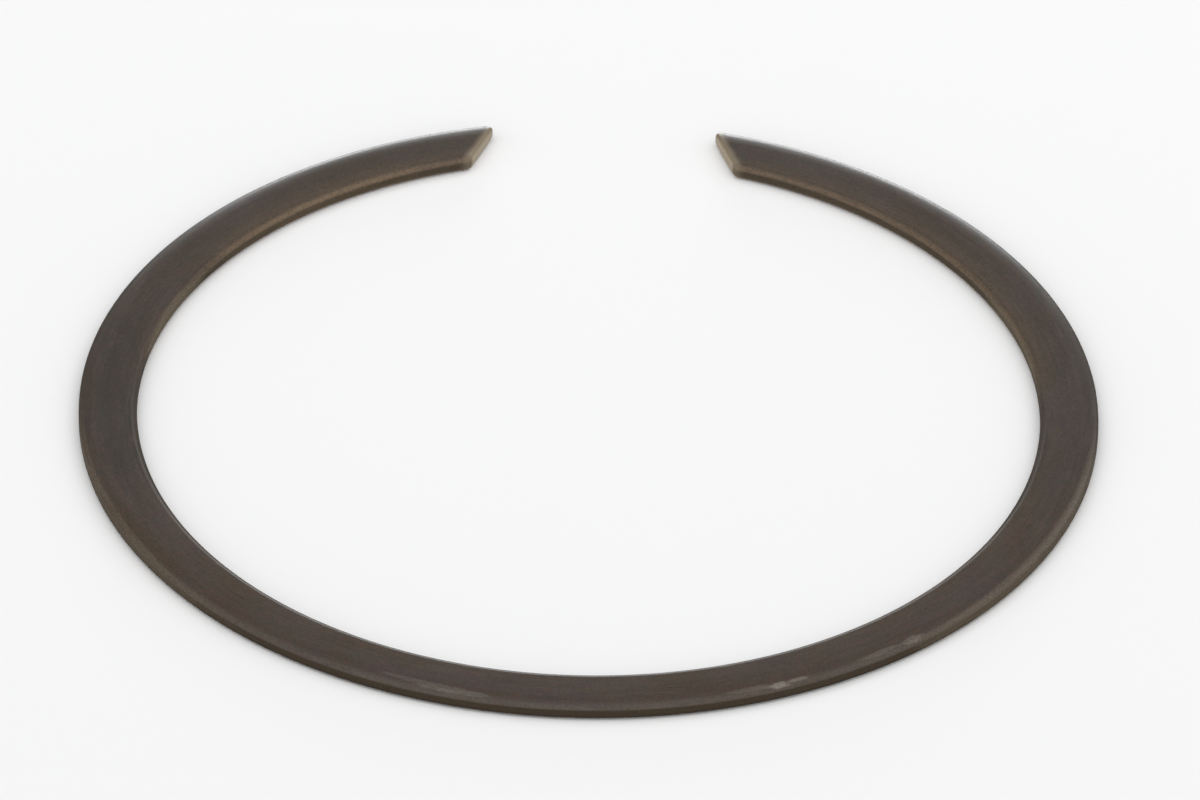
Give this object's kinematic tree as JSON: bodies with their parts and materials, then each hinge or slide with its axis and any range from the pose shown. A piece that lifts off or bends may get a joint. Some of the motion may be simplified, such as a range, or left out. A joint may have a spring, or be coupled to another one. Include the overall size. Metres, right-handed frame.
{
  "type": "circlip retaining ring",
  "caption": "Plain flat internal retaining ring: a round spring steel band with rolled edges, open at one place between two slanted ends.",
  "frame": {"origin": "centre of the ring in the plane of its lower flat face", "axes": "+Z along the ring's axis and up from the surface it lies on; +Y towards the middle of the gap; +X to the right when looking along +Y"},
  "size_m": [0.14, 0.138, 0.0022],
  "materials": {
    "oiled_spring_steel": "dark oiled spring steel, satin, with faint rolling streaks and rubbed edges"
  },
  "bodies": {
    "root": {"ring": "oiled_spring_steel"}
  },
  "joints": []
}
